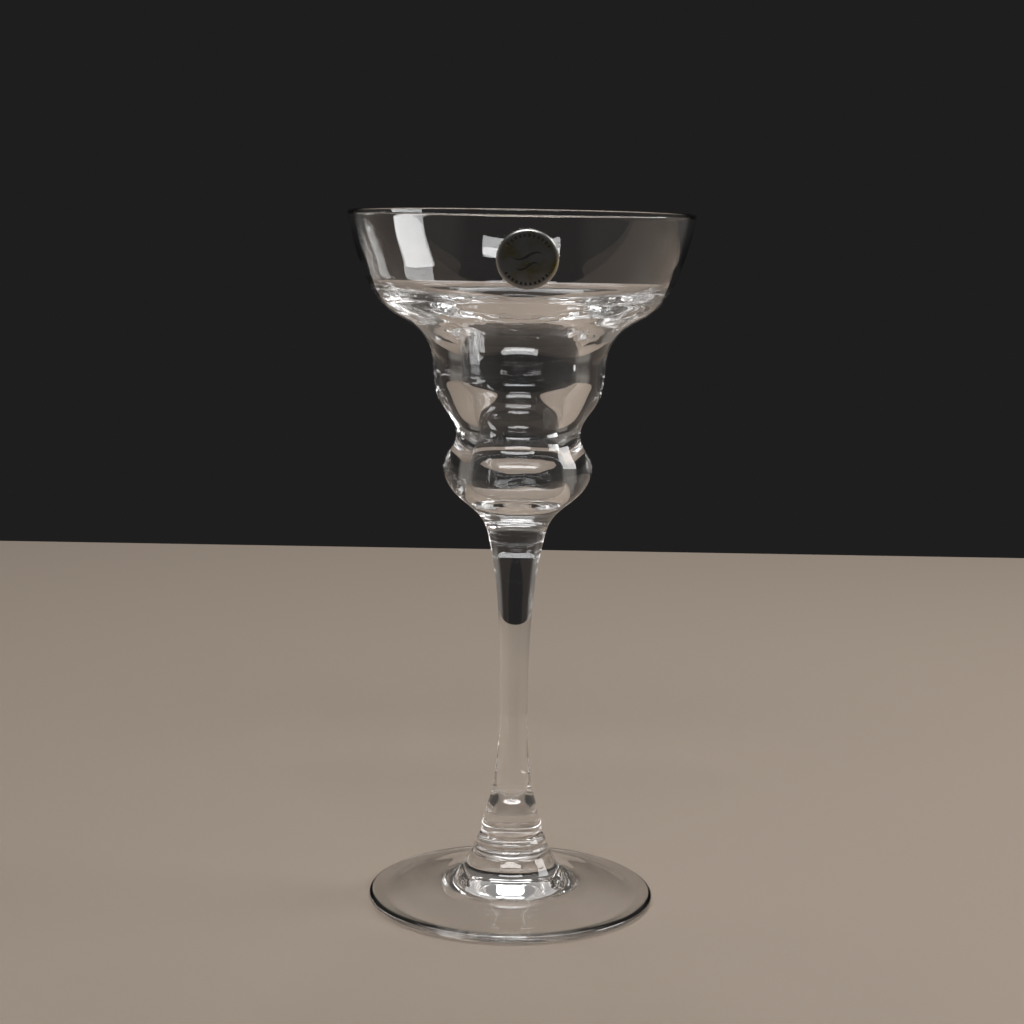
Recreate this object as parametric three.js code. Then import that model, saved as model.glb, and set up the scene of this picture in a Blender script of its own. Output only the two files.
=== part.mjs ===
// A stem glass in clear crystal: a wide saucer over a narrow stepped cup, on a drawn stem, a ridged collar
// and a round foot, with a round foil sticker on the saucer. Millimetres, +Z up. The origin is the centre of
// the circle that the foot stands on. Each glass piece is turned from an outline, and the pieces meet on flat
// welded faces.
import * as THREE from "three";

// Whole glass: the upper stem takes up what the other pieces leave of this height.
const GLASS_HEIGHT = 180;

// Foot: a thin plate that stands on a flat ring near its edge and rises in a soft cone to the collar.
const FOOT_DIAMETER = 75;
const FOOT_EDGE_THICKNESS = 1.8;
const FOOT_EDGE_ROUNDING = 1.2;
const PLATE_DIAMETER = 40;
const PLATE_RISE = 3.1;
const CONE_MIDDLE_DIAMETER = 28;
const CONE_MIDDLE_RISE = 2.5;
const CONE_TOP_DIAMETER = 20.6;
const CONE_TOP_RISE = 4.8;

// Foot, underside: a shallow hollow inside the ring, which follows the plate above it.
const STANDING_RING_WIDTH = 3.3;
const HOLLOW_MIDDLE_DIAMETER = 40;
const HOLLOW_MIDDLE_RISE = 2.5;
const HOLLOW_RISE = 3.8;
const HOLLOW_SLOPE = 9;

// Collar: two rounded bands, each narrower than the one below it.
const LOWER_BAND_DIAMETER = 20;
const LOWER_BAND_HEIGHT = 2.5;
const UPPER_BAND_DIAMETER = 18.6;
const UPPER_BAND_HEIGHT = 2.7;
const BAND_DRAW_IN = 1.4;

// Stem: a bell that stands on the collar, a thin middle and a flare that carries the bowl.
const BELL_CREASE_DIAMETER = 15.6;
const BELL_DIAMETER = 16.2;
const BELL_EDGE_HEIGHT = 1.6;
const BELL_TOP_DIAMETER = 10.6;
const BELL_HEIGHT = 10.4;
const STEM_DIAMETER = 7.3;
const LOWER_STEM_HEIGHT = 23.6;
const UPPER_STEM_DIAMETER = 9.4;
const STEM_TOP_DIAMETER = 15.2;
const STEM_FLARE_HEIGHT = 18;

// Bowl, outside: diameters from the weld up to the rim, and the rise from each one to the next.
const FLARE_DIAMETER = 26;
const FLARE_RISE = 7.3;
const BULGE_DIAMETER = 38.3;
const BULGE_RISE = 9.5;
const WAIST_DIAMETER = 31.9;
const WAIST_RISE = 8.3;
const BARREL_FOOT_DIAMETER = 43;
const BARREL_FOOT_RISE = 12.1;
const BARREL_TOP_DIAMETER = 44.6;
const BARREL_RISE = 7.8;
const SHOULDER_DIAMETER = 62;
const SHOULDER_RISE = 10.5;
const SAUCER_DIAMETER = 77.2;
const SAUCER_RISE = 8;
const RIM_DIAMETER = 88.2;
const RIM_RISE = 18;

// Bowl, inside: the thickness of the glass at those diameters. A lift moves the inside of a step up, or down
// where it is negative.
const LIP_THICKNESS = 1;
const SAUCER_WALL = 1.4;
const SHOULDER_WALL = 5;
const BARREL_TOP_WALL = 7.2;
const BARREL_TOP_LIFT = 1.3;
const BARREL_FOOT_WALL = 6.4;
const BARREL_FOOT_LIFT = 1.9;
const WAIST_WALL = 5.9;
const WAIST_LIFT = 2.5;
const BULGE_WALL = 6.5;
const BULGE_LIFT = -1.2;
const FLOOR_THICKNESS = 8.8;

// Sticker: a thin foil disc bent to the saucer's wall, a little to the right of the middle of the front.
const STICKER_DIAMETER = 15;
const STICKER_THICKNESS = 0.15;
const STICKER_BELOW_RIM = 10.2;
const STICKER_TURN = 1.9;
const GLUE_GAP = 0.1;

// Fineness of the turned surfaces.
const TURN_STEPS = 48;
const SPAN_STEPS = 4;
const CURVE_REACH = 0.36;
const STICKER_RINGS = 4;

const OUT = 0;
const UP = 90;
const IN = 180;
const DOWN = 270;

// A knot is a point of an outline and the direction in which the outline passes it, in degrees.
function knot(diameter, height, heading) {
  return { at: new THREE.Vector2(diameter / 2, height), heading };
}

// A point some way along a knot's heading, or behind it where the distance is negative.
function along(from, distance) {
  const angle = THREE.MathUtils.degToRad(from.heading);
  const step = new THREE.Vector2(Math.cos(angle), Math.sin(angle));
  return from.at.clone().addScaledVector(step, distance);
}

// The knot on the inner surface that faces an outer knot through a wall. The inner outline runs downwards. A
// turn makes the wall a little thicker to one side.
function through(outer, wall, lift = 0, turn = 0) {
  const inward = { at: outer.at, heading: outer.heading + 90 };
  const at = along(inward, wall);
  at.y += lift;
  return { at, heading: outer.heading + 180 + turn };
}

// The smooth curve from one knot to the next.
function span(from, to) {
  const reach = CURVE_REACH * from.at.distanceTo(to.at);
  return new THREE.CubicBezierCurve(from.at, along(from, reach), along(to, -reach), to.at);
}

// The points of a smooth outline through a list of knots.
function outline(knots) {
  const points = [knots[0].at];
  for (let i = 1; i < knots.length; i++) {
    points.push(...span(knots[i - 1], knots[i]).getPoints(SPAN_STEPS).slice(1));
  }
  return points;
}

// A solid of revolution about Z from an outline that runs upwards on the outside and ends on the axis.
function turned(points) {
  return new THREE.LatheGeometry(points, TURN_STEPS).rotateX(Math.PI / 2);
}

function onAxis(height) {
  return new THREE.Vector2(0, height);
}

function crystal() {
  return new THREE.MeshStandardMaterial({
    color: 0xeef3f2,
    roughness: 0.03,
    metalness: 0,
    transparent: true,
    opacity: 0.35,
  });
}

function piece(name, geometry, material, height) {
  const mesh = new THREE.Mesh(geometry, material);
  mesh.name = name;
  mesh.position.z = height;
  return mesh;
}

// Outside of the bowl: each knot is a rise above the last one.
const flare = knot(FLARE_DIAMETER, FLARE_RISE, UP - 53);
const bulge = knot(BULGE_DIAMETER, flare.at.y + BULGE_RISE, UP);
const waist = knot(WAIST_DIAMETER, bulge.at.y + WAIST_RISE, UP);
const barrelFoot = knot(BARREL_FOOT_DIAMETER, waist.at.y + BARREL_FOOT_RISE, UP - 6);
const barrelTop = knot(BARREL_TOP_DIAMETER, barrelFoot.at.y + BARREL_RISE, UP - 6);
const shoulder = knot(SHOULDER_DIAMETER, barrelTop.at.y + SHOULDER_RISE, UP - 64);
const saucer = knot(SAUCER_DIAMETER, shoulder.at.y + SAUCER_RISE, UP - 26.5);
const rim = knot(RIM_DIAMETER, saucer.at.y + RIM_RISE, UP - 10);

// How the pieces stack.
const plateHeight = FOOT_EDGE_THICKNESS + PLATE_RISE;
const coneMiddleHeight = plateHeight + CONE_MIDDLE_RISE;
const footHeight = coneMiddleHeight + CONE_TOP_RISE;
const collarHeight = LOWER_BAND_HEIGHT + UPPER_BAND_HEIGHT;
const bowlHeight = rim.at.y + LIP_THICKNESS / 2;
const collarBase = footHeight;
const stemBase = collarBase + collarHeight;
const bowlBase = GLASS_HEIGHT - bowlHeight;
const stemHeight = bowlBase - stemBase;

// Foot: out along the underside to the ring, round the edge and up the cone.
function footOutline() {
  const flatDiameter = FOOT_DIAMETER - 2 * FOOT_EDGE_ROUNDING;
  const hollowDiameter = flatDiameter - 2 * STANDING_RING_WIDTH;
  const underside = outline([
    knot(0, HOLLOW_RISE, OUT),
    knot(HOLLOW_MIDDLE_DIAMETER, HOLLOW_MIDDLE_RISE, OUT - HOLLOW_SLOPE),
    knot(hollowDiameter, 0, OUT - HOLLOW_SLOPE),
  ]);
  const edgeAndTop = outline([
    knot(flatDiameter, 0, OUT),
    knot(FOOT_DIAMETER, FOOT_EDGE_THICKNESS / 2, UP),
    knot(flatDiameter, FOOT_EDGE_THICKNESS, IN - 3),
    knot(PLATE_DIAMETER, plateHeight, IN - 12),
    knot(CONE_MIDDLE_DIAMETER, coneMiddleHeight, IN - 23),
    knot(CONE_TOP_DIAMETER, footHeight, IN - 50),
  ]);
  return [...underside, ...edgeAndTop, onAxis(footHeight)];
}

// Collar: the upper band ends in the crease under the bell.
function collarOutline() {
  const lowerTop = LOWER_BAND_HEIGHT;
  const lowerBand = outline([
    knot(LOWER_BAND_DIAMETER, 0, UP),
    knot(LOWER_BAND_DIAMETER - BAND_DRAW_IN, lowerTop, UP + 45),
  ]);
  const upperBand = outline([
    knot(UPPER_BAND_DIAMETER, lowerTop, UP),
    knot(BELL_CREASE_DIAMETER, collarHeight, UP + 55),
  ]);
  return [onAxis(0), ...lowerBand, ...upperBand, onAxis(collarHeight)];
}

// Stem: one smooth side from the bell's edge to the weld under the bowl.
function stemOutline() {
  const bellTop = BELL_EDGE_HEIGHT + BELL_HEIGHT;
  const thinnest = bellTop + LOWER_STEM_HEIGHT;
  const flareBase = stemHeight - STEM_FLARE_HEIGHT;
  const side = outline([
    knot(BELL_CREASE_DIAMETER, 0, UP - 20),
    knot(BELL_DIAMETER, BELL_EDGE_HEIGHT, UP + 8),
    knot(BELL_TOP_DIAMETER, bellTop, UP + 10),
    knot(STEM_DIAMETER, thinnest, UP),
    knot(UPPER_STEM_DIAMETER, flareBase, UP - 5),
    knot(STEM_TOP_DIAMETER, stemHeight, UP - 14),
  ]);
  return [onAxis(0), ...side, onAxis(stemHeight)];
}

// Bowl: up the outside, over the lip and down the inside.
function bowlOutline() {
  const lipTop = knot(RIM_DIAMETER - LIP_THICKNESS, bowlHeight, IN);
  const outerWall = [
    knot(STEM_TOP_DIAMETER, 0, UP - 14),
    flare,
    bulge,
    waist,
    barrelFoot,
    barrelTop,
    shoulder,
    saucer,
    rim,
  ];
  const innerWall = [
    knot(RIM_DIAMETER - 2 * LIP_THICKNESS, rim.at.y, DOWN - 10),
    through(saucer, SAUCER_WALL),
    through(shoulder, SHOULDER_WALL, 0, -4),
    through(barrelTop, BARREL_TOP_WALL, BARREL_TOP_LIFT),
    through(barrelFoot, BARREL_FOOT_WALL, BARREL_FOOT_LIFT),
    through(waist, WAIST_WALL, WAIST_LIFT),
    through(bulge, BULGE_WALL, BULGE_LIFT),
    knot(0, FLOOR_THICKNESS, IN),
  ];
  return [onAxis(0), ...outline([...outerWall, lipTop, ...innerWall])];
}

// Sticker: a flat disc with its face along Y, bent to the saucer's wall. Its X runs round the bowl, its Z up
// the wall, and its Y stands off the glass.
function stickerGeometry() {
  const wall = new THREE.CurvePath();
  wall.add(span(shoulder, saucer));
  wall.add(span(saucer, rim));
  const length = wall.getLength();
  const middle = length - STICKER_BELOW_RIM;
  const ringWidth = STICKER_DIAMETER / 2 / STICKER_RINGS;
  const radii = Array.from({ length: STICKER_RINGS + 1 }, (_, i) => i * ringWidth);
  const back = radii.map((radius) => new THREE.Vector2(radius, GLUE_GAP));
  const face = radii.map((radius) => new THREE.Vector2(radius, GLUE_GAP + STICKER_THICKNESS)).reverse();
  const disc = new THREE.LatheGeometry([...back, ...face], TURN_STEPS / 2);
  const position = disc.getAttribute("position");
  for (let i = 0; i < position.count; i++) {
    const share = (middle + position.getZ(i)) / length;
    const foot = wall.getPoint(share);
    const slope = wall.getTangent(share);
    const offset = position.getY(i);
    const radius = foot.x + slope.y * offset;
    const angle = THREE.MathUtils.degToRad(STICKER_TURN) - position.getX(i) / foot.x;
    position.setXYZ(i, radius * Math.sin(angle), -radius * Math.cos(angle), foot.y - slope.x * offset);
  }
  return disc;
}

const foil = new THREE.MeshStandardMaterial({ color: 0x55534c, roughness: 0.35, metalness: 0.8 });

const stemGlass = new THREE.Group();
stemGlass.add(
  piece("foot", turned(footOutline()), crystal(), 0),
  piece("collar", turned(collarOutline()), crystal(), collarBase),
  piece("stem", turned(stemOutline()), crystal(), stemBase),
  piece("bowl", turned(bowlOutline()), crystal(), bowlBase),
  piece("sticker", stickerGeometry(), foil, bowlBase),
);

export default stemGlass;
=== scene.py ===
# %% [markdown]
# # A crystal stem glass
# This lesson dresses a stem glass that was built in CAD: a wide saucer over a narrow stepped cup, on a
# drawn stem, a ridged collar and a round foot, with a round foil sticker on the saucer. The CAD model is
# the fixed frame. Every piece below takes its shape and place from it, so nothing is fitted by eye.

# %% Load the frame
import math

import bmesh
import bpy
from mathutils import Matrix, Vector, noise


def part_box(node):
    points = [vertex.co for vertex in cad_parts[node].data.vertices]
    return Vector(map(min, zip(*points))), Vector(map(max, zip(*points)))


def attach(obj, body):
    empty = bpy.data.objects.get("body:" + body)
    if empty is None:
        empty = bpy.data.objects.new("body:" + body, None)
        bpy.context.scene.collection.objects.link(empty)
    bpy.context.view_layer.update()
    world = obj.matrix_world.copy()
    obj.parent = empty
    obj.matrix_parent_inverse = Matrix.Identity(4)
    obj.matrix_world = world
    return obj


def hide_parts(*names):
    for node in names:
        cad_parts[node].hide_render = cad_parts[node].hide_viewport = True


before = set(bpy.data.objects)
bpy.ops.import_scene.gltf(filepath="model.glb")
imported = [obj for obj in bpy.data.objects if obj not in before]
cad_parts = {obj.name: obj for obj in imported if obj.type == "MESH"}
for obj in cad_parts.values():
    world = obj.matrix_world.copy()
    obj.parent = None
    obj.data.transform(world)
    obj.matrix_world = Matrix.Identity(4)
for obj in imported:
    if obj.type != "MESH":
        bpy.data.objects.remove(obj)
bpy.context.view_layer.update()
MM = 0.001
scene = bpy.context.scene
scene.view_settings.view_transform = "Standard"

# %% [markdown]
# ## Camera
# Clear glass has no colour of its own: what the eye reads is the room, bent and mirrored. So the camera
# comes first, because every reflection depends on where it stands. It looks slightly down, from a bit
# more than half a metre away, with a short telephoto lens and a slight roll.

# %% Camera
CAMERA_PLACE = Vector((-1.26, -538.74, 189.02)) * MM
CAMERA_DOWN = math.radians(9.068)
CAMERA_ROLL = math.radians(0.974)
CAMERA_LENS = 74.15
CAMERA_SENSOR = 36.0
CAMERA_NEAR = 10 * MM

camera_data = bpy.data.cameras.new("camera")
camera_data.lens = CAMERA_LENS
camera_data.sensor_width = CAMERA_SENSOR
camera_data.clip_start = CAMERA_NEAR
camera = bpy.data.objects.new("camera", camera_data)
scene.collection.objects.link(camera)
look_ahead = Matrix.Rotation(math.pi / 2 - CAMERA_DOWN, 4, "X")
roll = Matrix.Rotation(CAMERA_ROLL, 4, "Z")
camera.matrix_world = Matrix.Translation(CAMERA_PLACE) @ look_ahead @ roll
scene.camera = camera
print("camera at", [round(c / MM) for c in CAMERA_PLACE], "mm, lens", CAMERA_LENS, "mm")

# %% [markdown]
# ## Colours and nodes
# Colours are written as sRGB hex values, as a picture editor shows them. Blender's shaders work in linear
# light, so one function converts them. A second small function adds a node, sets its options and links
# its inputs, so that each material below reads as a list of steps.

# %% Helpers for materials
def linear(hex_colour):
    """An sRGB colour such as "c8beb4" as linear red, green, blue and alpha."""
    channels = [int(hex_colour[i:i + 2], 16) / 255 for i in (0, 2, 4)]
    return [c / 12.92 if c <= 0.04045 else ((c + 0.055) / 1.055) ** 2.4 for c in channels] + [1.0]


def add(tree, kind, inputs=None, **settings):
    """Adds a node with its options. An input takes a value, a socket, or a node for its first output."""
    node = tree.nodes.new(kind)
    for name, value in settings.items():
        setattr(node, name, value)
    for name, value in (inputs or {}).items():
        if isinstance(value, bpy.types.Node):
            value = value.outputs[0]
        if isinstance(value, bpy.types.NodeSocket):
            tree.links.new(value, node.inputs[name])
        else:
            node.inputs[name].default_value = value
    return node


def new_material(name):
    """A material with an empty node tree and its output node."""
    material = bpy.data.materials.new(name)
    material.use_nodes = True
    tree = material.node_tree
    tree.nodes.clear()
    return material, tree, add(tree, "ShaderNodeOutputMaterial")


print("helpers ready")

# %% [markdown]
# ## Stage
# A pale table top ends half a metre behind the glass, and a dark cloth hangs beyond it. That is
# dark-field lighting: against a dark ground the edges of clear glass light up, because they bend light in
# from the sides. Towards the camera the table is short, because the saucer would mirror a longer one as a
# veil. It lies a hair lower than the glass stands. As under any real glass, a film of air stays between
# the two, and no two faces share one height, which would show as a false grey band.

# %% Table top
TABLE_WIDTH = 1800 * MM
TABLE_BEHIND = 524 * MM
TABLE_BEFORE = 150 * MM
TABLE_GAP = 0.05 * MM
TABLE_COLOUR = "a39486"
TABLE_ROUGHNESS = 0.7

bm = bmesh.new()
depth = TABLE_BEHIND + TABLE_BEFORE
middle = (0, TABLE_BEHIND - depth / 2, -TABLE_GAP)
spread = Matrix.Translation(middle) @ Matrix.Diagonal((TABLE_WIDTH, depth, 1, 1))
bmesh.ops.create_grid(bm, x_segments=1, y_segments=1, size=0.5, matrix=spread)
table_mesh = bpy.data.meshes.new("table_top")
bm.to_mesh(table_mesh)
bm.free()
table = bpy.data.objects.new("table_top", table_mesh)
scene.collection.objects.link(table)
material, tree, output = new_material("matt_table_top")
shader = add(tree, "ShaderNodeBsdfPrincipled", {
    "Base Color": linear(TABLE_COLOUR), "Roughness": TABLE_ROUGHNESS})
tree.links.new(shader.outputs["BSDF"], output.inputs["Surface"])
table_mesh.materials.append(material)
print("table top", round(TABLE_WIDTH / MM), "by", round(depth / MM), "mm")

# %% [markdown]
# The world has two jobs. For light that has met the table first, it is an even soft fill. For rays that
# look at it, straight from the camera, in a reflection or through the glass, it is a studio with walls.
# Light Path tells the two kinds of ray apart.

# %% Rays that look at the studio
world = bpy.data.worlds.new("studio")
scene.world = world
world.use_nodes = True
tree = world.node_tree
tree.nodes.clear()
ray = add(tree, "ShaderNodeLightPath").outputs
looks = add(tree, "ShaderNodeMath", {0: ray["Is Camera Ray"], 1: ray["Is Glossy Ray"]}, operation="MAXIMUM")
looks = add(tree, "ShaderNodeMath", {0: looks, 1: ray["Is Transmission Ray"]}, operation="MAXIMUM")
before_table = add(tree, "ShaderNodeMath", {0: ray["Diffuse Depth"], 1: 0.5}, operation="LESS_THAN")
looks = add(tree, "ShaderNodeMath", {0: looks, 1: before_table}, operation="MULTIPLY")
print("world", world.name, "sorts its rays with", len(tree.nodes), "nodes")

# %% [markdown]
# The studio has a dark cloth behind the table, a dim room on the camera's own side, a lighter wall above
# the cloth, and low walls to the left and right, which draw the edges of the glass. They end low, because
# the saucer would mirror higher ones as a veil. A world could show a picture of a room instead, but with
# plain walls it is clear which one makes which reflection. Each wall has a soft edge, told as two values
# of the ray's direction, from where it starts to where it is full.

# %% Walls of the studio
CLOTH_EDGE = (0.2, 0.5)
ABOVE_EDGE = (0.3, 0.42)
SIDE_EDGE = (0.55, 0.7)
SIDE_TOP = (0.2, 0.1)

towards = add(tree, "ShaderNodeTexCoord").outputs["Generated"]
direction = add(tree, "ShaderNodeSeparateXYZ", {0: towards}).outputs
cloth = add(tree, "ShaderNodeMapRange", {
    "Value": direction["Y"], "From Min": CLOTH_EDGE[0], "From Max": CLOTH_EDGE[1]})
above = add(tree, "ShaderNodeMapRange", {
    "Value": direction["Z"], "From Min": ABOVE_EDGE[0], "From Max": ABOVE_EDGE[1]})
above = add(tree, "ShaderNodeMath", {0: above, 1: cloth}, operation="MULTIPLY")
sideways = add(tree, "ShaderNodeMath", {0: direction["X"]}, operation="ABSOLUTE")
side = add(tree, "ShaderNodeMapRange", {
    "Value": sideways, "From Min": SIDE_EDGE[0], "From Max": SIDE_EDGE[1]})
low = add(tree, "ShaderNodeMapRange", {
    "Value": direction["Z"], "From Min": SIDE_TOP[0], "From Max": SIDE_TOP[1]})
side = add(tree, "ShaderNodeMath", {0: side, 1: low}, operation="MULTIPLY")
wall = add(tree, "ShaderNodeMath", {0: above, 1: side}, operation="MAXIMUM")
print("walls placed:", len(tree.nodes), "nodes")

# %% [markdown]
# At a strength of 1, a colour of the world shows about as it is written. The fill is white and weak,
# because the lamps below do most of the work.

# %% Colours of the studio
CLOTH_COLOUR = "1f1e1e"
ROOM_COLOUR = "403e3c"
WALL_COLOUR = "6c6965"
FILL_COLOUR = "ffffff"
FILL_STRENGTH = 0.2

room_seen = add(tree, "ShaderNodeBackground", {"Color": linear(ROOM_COLOUR)})
cloth_seen = add(tree, "ShaderNodeBackground", {"Color": linear(CLOTH_COLOUR)})
wall_seen = add(tree, "ShaderNodeBackground", {"Color": linear(WALL_COLOUR)})
fill = add(tree, "ShaderNodeBackground", {"Color": linear(FILL_COLOUR), "Strength": FILL_STRENGTH})
seen = add(tree, "ShaderNodeMixShader", {0: cloth, 1: room_seen, 2: cloth_seen})
seen = add(tree, "ShaderNodeMixShader", {0: wall, 1: seen, 2: wall_seen})
mix = add(tree, "ShaderNodeMixShader", {0: looks, 1: fill, 2: seen})
add(tree, "ShaderNodeOutputWorld", {"Surface": mix})
print("cloth", CLOTH_COLOUR, "room", ROOM_COLOUR, "wall", WALL_COLOUR, "fill", FILL_STRENGTH)

# %% [markdown]
# ## Lights
# Three soft boxes: a wide strip above the camera, a box on the right, and a larger one overhead, a little
# behind the glass, which lights the rings in its foot. Each one shows in the glass as a bright shape, so
# their places and outlines matter as much as their strength. Brightness is told against a white sheet: a
# box of brightness 8 looks eight times as bright as white, and a wall of glass mirrors about a tenth of
# it.

# %% Soft boxes
AIM = Vector((0, 0, 150)) * MM


def soft_box(name, turn, rise, distance, width, height, roll, brightness):
    """A lamp that faces the glass, in degrees and metres. Turn 0 is on the camera's side, 90 on its right."""
    turn, rise = math.radians(turn), math.radians(rise)
    towards = Vector((math.sin(turn) * math.cos(rise), -math.cos(turn) * math.cos(rise), math.sin(rise)))
    lamp = bpy.data.lights.new(name, "AREA")
    lamp.shape = "RECTANGLE"
    lamp.size, lamp.size_y = width, height
    lamp.energy = brightness * math.pi * width * height
    box = bpy.data.objects.new(name, lamp)
    facing = towards.to_track_quat("Z", "Y").to_matrix().to_4x4()
    facing = facing @ Matrix.Rotation(math.radians(roll), 4, "Z")
    box.matrix_world = Matrix.Translation(AIM + towards * distance) @ facing
    box.visible_camera = False
    scene.collection.objects.link(box)


soft_box("strip_above", turn=0, rise=41.9, distance=0.95, width=0.925, height=0.15, roll=0, brightness=9)
soft_box("box_right", turn=96, rise=24.4, distance=0.85, width=0.4, height=0.35, roll=-24, brightness=7)
soft_box("box_overhead", turn=180, rise=59.5, distance=0.99, width=0.9, height=0.5, roll=0, brightness=3.2)

# %% [markdown]
# Light bounces many times inside thick glass before it leaves. With Blender's usual limits those paths
# end early and turn black, so the scene allows more bounces. Blender also blurs some reflections a little
# to save time. Here that is off, because sharp reflections are what shows the glass.

# %% Bounces
scene.cycles.max_bounces = 32
scene.cycles.transmission_bounces = 32
scene.cycles.glossy_bounces = 16
scene.cycles.transparent_max_bounces = 64
scene.cycles.blur_glossy = 0.0
print("bounces through glass:", scene.cycles.transmission_bounces)

# %% [markdown]
# ## Crystal
# Lead crystal, blown and fire-polished: a clear solid with a high index, about 1.545, and no colour. Fire
# polishing melts the skin, so there are no scratches, but it keeps a faint ripple about a centimetre long
# that makes reflections swim. Round the shoulder, where the hot glass first met the cold mould, the skin
# set in short chill marks, and they break the light there into sparks. Both are far too low for the mesh,
# so they are bumps, one laid on the other.

# %% Skin of the crystal
RIPPLE_LENGTH = 10 * MM
RIPPLE_HEIGHT = 0.02 * MM
CHILL_LENGTH = 3.0 * MM
CHILL_HEIGHT = 0.05 * MM
CHILL_MIDDLE = 155 * MM
CHILL_REACH = 7 * MM

crystal, tree, output = new_material("lead_crystal")
spot = add(tree, "ShaderNodeTexCoord").outputs["Object"]
ripple = add(tree, "ShaderNodeTexNoise", {"Vector": spot, "Scale": 1 / RIPPLE_LENGTH, "Detail": 1.0})
chill = add(tree, "ShaderNodeTexNoise", {"Vector": spot, "Scale": 1 / CHILL_LENGTH, "Detail": 1.0})
level = add(tree, "ShaderNodeSeparateXYZ", {0: spot}).outputs["Z"]
from_shoulder = add(tree, "ShaderNodeMath", {0: level, 1: CHILL_MIDDLE}, operation="SUBTRACT")
from_shoulder = add(tree, "ShaderNodeMath", {0: from_shoulder}, operation="ABSOLUTE")
marks = add(tree, "ShaderNodeMapRange", {
    "Value": from_shoulder, "From Min": CHILL_REACH, "From Max": CHILL_REACH / 2})
marks = add(tree, "ShaderNodeMath", {0: marks, 1: chill.outputs["Fac"]}, operation="MULTIPLY")
bump = add(tree, "ShaderNodeBump", {
    "Height": ripple.outputs["Fac"], "Strength": 1.0, "Distance": RIPPLE_HEIGHT})
bump = add(tree, "ShaderNodeBump", {
    "Height": marks, "Strength": 1.0, "Distance": CHILL_HEIGHT, "Normal": bump})
print("skin of", crystal.name, "made:", len(tree.nodes), "nodes")

# %% [markdown]
# One Principled shader with full transmission gives both the mirror and the refraction. Patches that
# hands and cloths have touched are a trace less sharp. Where two pieces were stuck together hot, there is
# no surface left between them, so the faces of a weld let light straight through.

# %% Lead crystal
CRYSTAL_COLOUR = "ffffff"
CRYSTAL_IOR = 1.545
PATCH_LENGTH = 22 * MM
PATCH_ROUGHNESS = 0.02
PATCH_EDGE = (0.5, 0.75)

patches = add(tree, "ShaderNodeTexNoise", {"Vector": spot, "Scale": 1 / PATCH_LENGTH, "Detail": 3.0})
roughness = add(tree, "ShaderNodeMapRange", {
    "Value": patches.outputs["Fac"], "From Min": PATCH_EDGE[0], "From Max": PATCH_EDGE[1],
    "To Max": PATCH_ROUGHNESS})
shader = add(tree, "ShaderNodeBsdfPrincipled", {
    "Base Color": linear(CRYSTAL_COLOUR), "Roughness": roughness, "IOR": CRYSTAL_IOR,
    "Transmission Weight": 1.0, "Normal": bump})
tree.links.new(shader.outputs["BSDF"], output.inputs["Surface"])

weld, tree, output = new_material("fused_weld")
shader = add(tree, "ShaderNodeBsdfTransparent", {"Color": linear(CRYSTAL_COLOUR)})
tree.links.new(shader.outputs["BSDF"], output.inputs["Surface"])
print("materials:", crystal.name, weld.name)

# %% [markdown]
# ## Turned glass
# Each glass piece is a body of revolution. Its outline could be typed in again, but then it might drift
# away from the model. Instead it is cut out of the CAD node with a plane through the axis, so it has the
# true place and size.

# %% Cut an outline from a CAD node
TINY = 0.001 * MM


def half_outline(node):
    """The points of a CAD node's outline on the +X side of the XZ plane, from axis to axis."""
    bm = bmesh.new()
    bm.from_mesh(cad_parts[node].data)
    bmesh.ops.remove_doubles(bm, verts=bm.verts, dist=TINY)
    parts = bm.verts[:] + bm.edges[:] + bm.faces[:]
    bmesh.ops.bisect_plane(bm, geom=parts, dist=TINY, plane_co=(0, 0, 0), plane_no=(0, 1, 0),
                           clear_inner=True, clear_outer=True)
    bmesh.ops.delete(bm, geom=[v for v in bm.verts if v.co.x < -TINY], context="VERTS")
    chain = [min((v for v in bm.verts if len(v.link_edges) == 1), key=lambda v: v.co.z)]
    while len(chain) < len(bm.verts):
        beside = [edge.other_vert(chain[-1]) for edge in chain[-1].link_edges]
        chain.append(next(v for v in beside if v not in chain[-2:]))
    points = [Vector((max(v.co.x, 0), 0, v.co.z)) for v in chain]
    bm.free()
    return points


outlines = {node: half_outline(node) for node in ("foot", "collar", "stem", "bowl")}
print("outline points:", {node: len(points) for node, points in outlines.items()})

# %% [markdown]
# The outline has only the points that the CAD needed, and polished glass shows every kink in its
# highlights. A Subdivision Surface would round the kinks, but it also shrinks the shape. A cubic spline
# runs through the points themselves.

# %% Run a spline through points
FINE_STEP = 0.8 * MM
SPLINE_ROUNDS = 40


def spline(run):
    """A cubic spline through the points of one smooth run, in steps of at most FINE_STEP."""
    gaps = [(b - a).length for a, b in zip(run, run[1:])]
    bends = [Vector() for _ in run]
    for _ in range(SPLINE_ROUNDS):
        for i in range(1, len(run) - 1):
            before, after = gaps[i - 1], gaps[i]
            turn = 6 * ((run[i + 1] - run[i]) / after - (run[i] - run[i - 1]) / before)
            bends[i] = (turn - before * bends[i - 1] - after * bends[i + 1]) / (2 * (before + after))
    curve = []
    for a, b, bend_a, bend_b, gap in zip(run, run[1:], bends, bends[1:], gaps):
        steps = max(2, math.ceil(gap / FINE_STEP))
        for step in range(steps):
            s = gap * step / steps
            r = gap - s
            curve.append((bend_a * r ** 3 + bend_b * s ** 3) / (6 * gap) + (a / gap - bend_a * gap / 6) * r
                         + (b / gap - bend_b * gap / 6) * s)
    return curve + [run[-1]]


print("splines in steps of", round(FINE_STEP / MM, 1), "mm")

# %% [markdown]
# A real corner has to stay sharp, so a spline ends there. The tight curve of the lip would also make the
# long wall below it swing out, so each tight rounding gets a spline of its own. Whatever swing is left is
# held inside the node's box: the foot stays flat where it stands.

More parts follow.
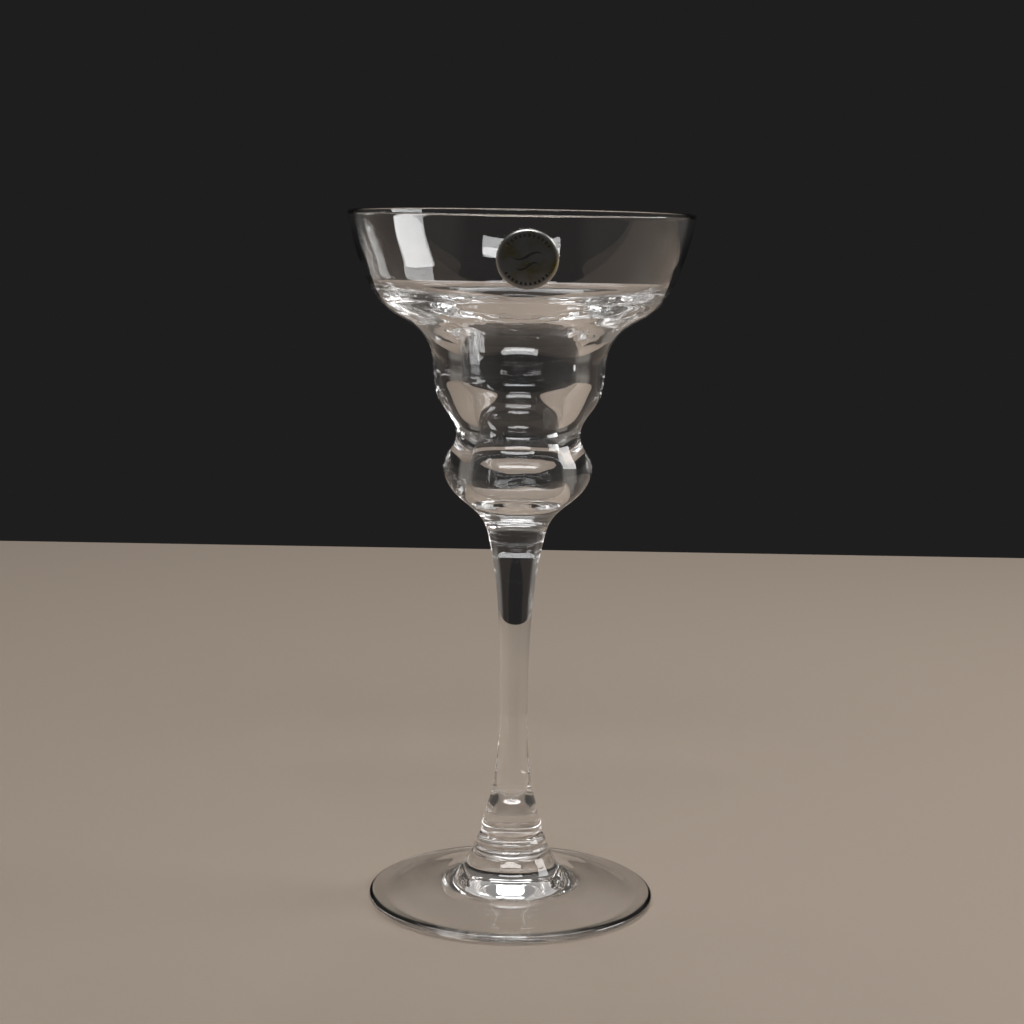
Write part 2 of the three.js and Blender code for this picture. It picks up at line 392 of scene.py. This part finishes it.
# %% Smooth an outline
CORNER = math.radians(38)
UNEVEN = 4
ACROSS = 3


def is_corner(before, after):
    """Whether a run ends between two steps: at a corner, or where a tight rounding meets a long stretch."""
    short, long = sorted([before.length, after.length])
    return before.angle(after) > CORNER or long > UNEVEN * short


def smooth_outline(points):
    """Splines between an outline's corners, held inside its box. A run crosses the axis level."""
    corners = [i for i in range(1, len(points) - 1)
               if is_corner(points[i] - points[i - 1], points[i + 1] - points[i])]
    result = [points[0]]
    for start, end in zip([0] + corners, corners + [len(points) - 1]):
        run = points[start:end + 1]
        if len(run) > 2 and run[0].x < TINY:
            run = [Vector((-p.x, 0, p.z)) for p in run[ACROSS:0:-1]] + run
        if len(run) > 2 and run[-1].x < TINY:
            run = run + [Vector((-p.x, 0, p.z)) for p in run[-2:-2 - ACROSS:-1]]
        if len(run) > 2:
            result += [p for p in spline(run)[1:-1] if p.x > TINY]
        result.append(points[end])
    widest = max(p.x for p in points)
    low, high = min(p.z for p in points), max(p.z for p in points)
    return [Vector((min(p.x, widest), 0, min(max(p.z, low), high))) for p in result]


for node, points in outlines.items():
    print(node, "smooth outline:", len(smooth_outline(points)), "points")

# %% [markdown]
# Spinning the outline gives a closed piece. A Screw modifier would do the same, but the faces of the
# welds need a material of their own, so the operator is used, and each face is looked at once.

# %% Spin an outline into a piece
SPIN_STEPS = 192


def turned_glass(name, points, weld_heights, weld_radius):
    """A closed crystal piece from an outline. Its flats at the weld heights are fused to the next piece."""
    bm = bmesh.new()
    verts = [bm.verts.new(p) for p in points]
    edges = [bm.edges.new(pair) for pair in zip(verts, verts[1:])]
    bmesh.ops.spin(bm, geom=verts + edges, cent=(0, 0, 0), axis=(0, 0, 1), angle=math.tau,
                   steps=SPIN_STEPS, use_merge=True)
    bmesh.ops.remove_doubles(bm, verts=bm.verts, dist=TINY)
    bmesh.ops.recalc_face_normals(bm, faces=bm.faces)
    for edge in bm.edges:
        edge.smooth = edge.calc_face_angle() < CORNER
    for face in bm.faces:
        face.smooth = True
        level = any(all(abs(v.co.z - height) < TINY for v in face.verts) for height in weld_heights)
        fused = level and all(v.co.xy.length < weld_radius + TINY for v in face.verts)
        face.material_index = 1 if fused else 0
    mesh = bpy.data.meshes.new(name)
    bm.to_mesh(mesh)
    bm.free()
    mesh.materials.append(crystal)
    mesh.materials.append(weld)
    piece = bpy.data.objects.new(name, mesh)
    scene.collection.objects.link(piece)
    return piece


def place(piece, node):
    """Hangs a piece under the root body and hides the CAD node that it shows."""
    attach(piece, "root")
    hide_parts(node)
    print(piece.name, "made:", len(piece.data.polygons), "faces")


print("pieces are spun in", SPIN_STEPS, "steps")

# %% [markdown]
# ## Foot
# A round plate, drawn from soft glass with a paddle, so its upper and lower sides run almost parallel and
# the table shows through it. The collar stands on a flat at its middle. There the two pieces are one mass
# of glass, so a ring of points marks off the part of the flat that is fused.

# %% Foot
collar_low, collar_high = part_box("collar")
weld_ring = Vector((outlines["collar"][1].x, 0, collar_low.z))
foot_points = smooth_outline(outlines["foot"])
foot_points.insert(len(foot_points) - 1, weld_ring)
foot = turned_glass("foot_crystal", foot_points, [collar_low.z], weld_ring.x)
place(foot, "foot")

# %% [markdown]
# ## Collar
# Two rounded bands, pressed into the hot glass where the stem was stuck to the foot. Both of its flats
# are fused, so only the bands show.

# %% Collar
collar_points = smooth_outline(outlines["collar"])
collar = turned_glass("collar_crystal", collar_points, [collar_low.z, collar_high.z], weld_ring.x)
place(collar, "collar")

# %% [markdown]
# ## Stem
# Solid glass, pulled out of the bottom of the bowl while it was hot, so it is thinnest in the middle. Its
# lower end spreads into a bell that sits on the collar with a dark crease.

# %% Stem
stem_low, stem_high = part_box("stem")
stem_points = smooth_outline(outlines["stem"])
stem = turned_glass("stem_crystal", stem_points, [stem_low.z, stem_high.z], stem_points[1].x)
place(stem, "stem")

# %% [markdown]
# ## Bowl
# Blown into a mould: a saucer over a barrel, a waist and a bulge. The wall is thin at the lip and thick
# below, and its inner side follows the outer one, which is what keeps the view through it dark with
# bright lines.

# %% Bowl
bowl_points = smooth_outline(outlines["bowl"])
bowl = turned_glass("bowl_crystal", bowl_points, [stem_high.z], bowl_points[1].x)
place(bowl, "bowl")

# %% [markdown]
# The mould shapes only the outside. Inside the shoulder, where the glass was pushed out furthest, and at
# the bottom of the well, where it is thickest, it cooled in faint waves, a few hundredths of a millimetre
# high. They are too small for the outline, but they break up every highlight there, so smooth noise moves
# those points along their normals. Only points that look up are moved, because they are on the inner side.
# The waves fade out at the ends of their reach.

# %% Waves inside the bowl
WAVE_HEIGHT = 0.05 * MM
WAVE_LENGTH = 4.2 * MM
WAVE_FADE = 3
SHOULDER_WAVES = (156 * MM, 7 * MM)
WELL_WAVES = (109 * MM, 6 * MM)
LOOKS_UP = 0.2

waved = 0
for vertex in bowl.data.vertices:
    share = max(1 - abs(vertex.co.z - middle) / reach for middle, reach in (SHOULDER_WAVES, WELL_WAVES))
    if share > 0 and vertex.normal.z > LOOKS_UP:
        swell = noise.noise(vertex.co / WAVE_LENGTH)
        vertex.co += vertex.normal * (WAVE_HEIGHT * swell * min(1, WAVE_FADE * share))
        waved += 1
print("waves on", waved, "points")

# %% [markdown]
# ## Sticker
# A round label of metallised film on the front of the saucer. It could be cut out of the wall's own mesh,
# but its edge would follow that mesh's squares. So a flat disc of rings is laid against the wall at the
# place of the CAD sticker. Being flat, it also gives a UV map without any stretch, for the print.

# %% Disc against the wall
STICKER_SEGMENTS = 96
STICKER_RINGS = 8
LOOKS_FORWARD = -0.5

node_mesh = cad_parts["sticker"].data
centre = sum((v.co for v in node_mesh.vertices), Vector()) / len(node_mesh.vertices)
front = [f for f in node_mesh.polygons if f.normal.y < LOOKS_FORWARD]
out = sum((f.normal * f.area for f in front), Vector()).normalized()
across = Vector((0, 0, 1)).cross(out).normalized()
radius = max(abs((v.co - centre).dot(across)) for v in node_mesh.vertices)
lay = Matrix.Translation(centre) @ Matrix((across, out.cross(across), out)).transposed().to_4x4()

bm = bmesh.new()
bmesh.ops.create_circle(bm, cap_ends=True, segments=STICKER_SEGMENTS, radius=radius, matrix=lay)
for _ in range(STICKER_RINGS - 1):
    inmost = max(bm.faces, key=lambda face: len(face.verts))
    bmesh.ops.inset_individual(bm, faces=[inmost], thickness=radius / STICKER_RINGS)
bmesh.ops.poke(bm, faces=[max(bm.faces, key=lambda face: len(face.verts))])
bm.normal_update()
if sum((face.normal for face in bm.faces), Vector()).dot(out) < 0:
    bmesh.ops.reverse_faces(bm, faces=bm.faces)
print("disc", round(2 * radius / MM, 1), "mm across with", len(bm.faces), "faces")

# %% [markdown]
# The disc gets its UV map while it is flat. Then a Shrinkwrap modifier presses it onto the glass, a
# glue's thickness away from it, and Solidify gives the film its own thickness.

# %% Film on the wall
GLUE_GAP = 0.1 * MM
FILM_THICKNESS = 0.15 * MM

uv = bm.loops.layers.uv.new("print")
flat = lay.inverted()
for face in bm.faces:
    face.smooth = True
    for loop in face.loops:
        loop[uv].uv = (flat @ loop.vert.co).xy / radius
sticker_mesh = bpy.data.meshes.new("foil_sticker")
bm.to_mesh(sticker_mesh)
bm.free()
sticker = bpy.data.objects.new("foil_sticker", sticker_mesh)
scene.collection.objects.link(sticker)
press = sticker.modifiers.new("press onto the glass", "SHRINKWRAP")
press.target = bowl
press.wrap_method = "NEAREST_SURFACEPOINT"
press.wrap_mode = "ABOVE_SURFACE"
press.offset = GLUE_GAP
film = sticker.modifiers.new("film", "SOLIDIFY")
film.thickness = FILM_THICKNESS
film.offset = 1
place(sticker, "sticker")

# %% [markdown]
# The print is a plain ornament: a band of dashes above and below, and two waves that taper like brush
# strokes. It could be modelled, but ink is only a hundredth of a millimetre thick, so masks in the
# material draw it. In the UV map the disc runs from -1 to 1, so sizes are shares of the radius.

# %% Dashes
BAND_MIDDLE = 0.8
BAND_HALF_WIDTH = 0.05
BAND_START = 0.4
DASHES = 34
DASH_LEVEL = 0.1

foil, tree, output = new_material("metallised_film")
sticker_mesh.materials.append(foil)
spot = add(tree, "ShaderNodeUVMap", uv_map="print").outputs["UV"]
parts = add(tree, "ShaderNodeSeparateXYZ", {0: spot})
x, y = parts.outputs["X"], parts.outputs["Y"]
x_away = add(tree, "ShaderNodeMath", {0: x}, operation="ABSOLUTE")
y_away = add(tree, "ShaderNodeMath", {0: y}, operation="ABSOLUTE")
from_middle = add(tree, "ShaderNodeVectorMath", {0: spot}, operation="LENGTH").outputs["Value"]
band = add(tree, "ShaderNodeMath", {0: from_middle, 1: BAND_MIDDLE, 2: BAND_HALF_WIDTH}, operation="COMPARE")
above_or_below = add(tree, "ShaderNodeMath", {0: y_away, 1: BAND_START}, operation="GREATER_THAN")
angle = add(tree, "ShaderNodeMath", {0: x, 1: y}, operation="ARCTAN2")
spokes = add(tree, "ShaderNodeMath", {0: angle, 1: DASHES}, operation="MULTIPLY")
spokes = add(tree, "ShaderNodeMath", {0: spokes}, operation="SINE")
dashes = add(tree, "ShaderNodeMath", {0: spokes, 1: DASH_LEVEL}, operation="GREATER_THAN")
dashes = add(tree, "ShaderNodeMath", {0: dashes, 1: above_or_below}, operation="MULTIPLY")
ink = add(tree, "ShaderNodeMath", {0: band, 1: dashes}, operation="MULTIPLY")
print("dashes drawn:", DASHES, "to a full turn")

# %% [markdown]
# Each wave is a sine curve with a stroke round it that is widest in the middle and ends at its reach. The
# side on the glue, which shows through the glass from behind, has no print: the front of the glass is -Y,
# so only faces that look that way take ink.

# %% Waves in the print
STROKES = ({"height": 0.14, "reach": 0.62, "bend": 5.5}, {"height": -0.2, "reach": 0.48, "bend": 7.0})
STROKE_SWING = 0.12
STROKE_HALF_WIDTH = 0.055

for stroke in STROKES:
    swing = add(tree, "ShaderNodeMath", {0: x, 1: stroke["bend"]}, operation="MULTIPLY")
    swing = add(tree, "ShaderNodeMath", {0: swing}, operation="SINE")
    swing = add(tree, "ShaderNodeMath", {0: swing, 1: STROKE_SWING}, operation="MULTIPLY")
    taper = -STROKE_HALF_WIDTH / stroke["reach"]
    half_width = add(tree, "ShaderNodeMath", {0: x_away, 1: taper, 2: STROKE_HALF_WIDTH},
                     operation="MULTIPLY_ADD")
    rise = add(tree, "ShaderNodeMath", {0: y, 1: swing}, operation="SUBTRACT")
    line = add(tree, "ShaderNodeMath", {0: rise, 1: stroke["height"], 2: half_width}, operation="COMPARE")
    ink = add(tree, "ShaderNodeMath", {0: ink, 1: line}, operation="MAXIMUM")
facing = add(tree, "ShaderNodeSeparateXYZ", {0: add(tree, "ShaderNodeTexCoord").outputs["Normal"]})
printed = add(tree, "ShaderNodeMath", {0: facing.outputs["Y"], 1: 0.0}, operation="LESS_THAN")
ink = add(tree, "ShaderNodeMath", {0: ink, 1: printed}, operation="MULTIPLY")
print("masks for the print:", len(tree.nodes), "nodes")

# %% [markdown]
# Metallised film is a mirror of the room, blurred by its lacquer: in a dark studio it looks dark pewter,
# with a bare brighter rim where the print stops, and olive clouds where the lacquer is thicker. Ink is
# not metal: it covers the mirror.

# %% Colours of the film
FILM_COLOUR = "919396"
FILM_WARM = "938c65"
RIM_COLOUR = "dcdad6"
INK_COLOUR = "1d1c1a"
RIM_START = 0.96
CLOUD_LENGTH = 4.7 * MM
CLOUD_EDGE = (0.45, 0.7)

rim = add(tree, "ShaderNodeMath", {0: from_middle, 1: RIM_START}, operation="GREATER_THAN")
cloud = add(tree, "ShaderNodeTexNoise", {"Vector": spot, "Scale": radius / CLOUD_LENGTH, "Detail": 2.0})
tint = add(tree, "ShaderNodeMapRange", {
    "Value": cloud.outputs["Fac"], "From Min": CLOUD_EDGE[0], "From Max": CLOUD_EDGE[1]})
colour = linear(FILM_COLOUR)
for share, over in ((tint, FILM_WARM), (rim, RIM_COLOUR), (ink, INK_COLOUR)):
    colour = add(tree, "ShaderNodeMix", {0: share, 6: colour, 7: linear(over)}, data_type="RGBA").outputs[2]
metallic = add(tree, "ShaderNodeMath", {0: 1.0, 1: ink}, operation="SUBTRACT")
print("film", FILM_COLOUR, "clouds", FILM_WARM, "rim", RIM_COLOUR, "ink", INK_COLOUR)

# %% [markdown]
# The film was rubbed down over its glue, which left soft crinkles, and it is a little sharper where the
# lacquer is thick. The ink is duller, and stands a hundredth of a millimetre proud.

# %% Metallised film
THIN_LACQUER_ROUGHNESS = 0.34
THICK_LACQUER_ROUGHNESS = 0.24
INK_ROUGHNESS = 0.5
CRINKLE_LENGTH = 2.5 * MM
CRINKLE_HEIGHT = 0.04 * MM
INK_HEIGHT = 0.01 * MM

lacquer = add(tree, "ShaderNodeMapRange", {
    "Value": tint, "To Min": THIN_LACQUER_ROUGHNESS, "To Max": THICK_LACQUER_ROUGHNESS})
roughness = add(tree, "ShaderNodeMapRange", {"Value": ink, "To Min": lacquer, "To Max": INK_ROUGHNESS})
crinkle = add(tree, "ShaderNodeTexNoise", {"Vector": spot, "Scale": radius / CRINKLE_LENGTH, "Detail": 1.0})
bump = add(tree, "ShaderNodeBump", {
    "Height": crinkle.outputs["Fac"], "Strength": 1.0, "Distance": CRINKLE_HEIGHT})
bump = add(tree, "ShaderNodeBump", {"Height": ink, "Strength": 1.0, "Distance": INK_HEIGHT, "Normal": bump})
shader = add(tree, "ShaderNodeBsdfPrincipled", {
    "Base Color": colour, "Metallic": metallic, "Roughness": roughness, "Normal": bump})
tree.links.new(shader.outputs["BSDF"], output.inputs["Surface"])
print("film finished:", len(tree.nodes), "nodes")
